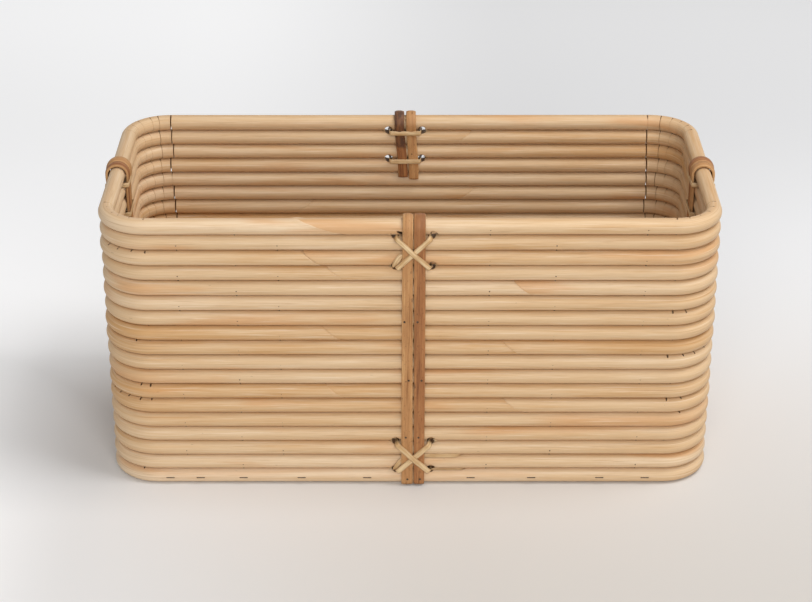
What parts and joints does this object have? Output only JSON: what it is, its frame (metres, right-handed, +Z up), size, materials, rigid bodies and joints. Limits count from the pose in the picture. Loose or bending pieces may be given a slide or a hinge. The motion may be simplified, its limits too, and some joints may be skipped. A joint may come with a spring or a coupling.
{
  "type": "storage basket",
  "caption": "Open rectangular storage basket with rounded corners, its walls stacked rings of kerf-bent rattan pole, with lashed straps over the rim at the middle of each wall.",
  "frame": {"origin": "middle of the footprint, on the surface the basket stands on", "axes": "+X along the long walls, +Y from the front wall to the back wall, +Z up"},
  "size_m": [0.6076, 0.2866, 0.2928],
  "materials": {
    "pole_a": "peeled rattan, satin, pale honey",
    "pole_b": "peeled rattan, satin, tan",
    "pole_c": "peeled rattan, satin, cream",
    "pole_d": "peeled rattan, satin, light orange",
    "board": "plywood, clear satin lacquer",
    "strap_left": "split rattan with its bark, brown, semi-matte",
    "strap_right": "split rattan with its bark, reddish brown, semi-matte",
    "peel": "rattan peel, satin",
    "brad": "dark steel wire brad",
    "staple": "dark steel wire staple"
  },
  "bodies": {
    "root": {"ring_01": "pole_b", "ring_02": "pole_c", "ring_03": "pole_d", "ring_04": "pole_a", "ring_05": "pole_b", "ring_06": "pole_c", "ring_07": "pole_d", "ring_08": "pole_a", "ring_09": "pole_b", "ring_10": "pole_c", "ring_11": "pole_d", "ring_12": "pole_a", "ring_13": "pole_b", "ring_14": "pole_c", "ring_15": "pole_d", "ring_16": "pole_a", "ring_17": "pole_b", "ring_18": "pole_c", "base_board": "board", "front_strap_left": "strap_left", "front_strap_right": "strap_right", "right_strap_left": "strap_left", "right_strap_right": "strap_right", "back_strap_left": "strap_left", "back_strap_right": "strap_right", "left_strap_left": "strap_left", "left_strap_right": "strap_right", "front_lashing_upper": "peel", "front_lashing_lower": "peel", "right_lashing_upper": "peel", "right_lashing_lower": "peel", "back_lashing_upper": "peel", "back_lashing_lower": "peel", "left_lashing_upper": "peel", "left_lashing_lower": "peel", "strap_brads": "brad", "ring_brads": "brad", "base_staples": "staple"}
  },
  "joints": []
}
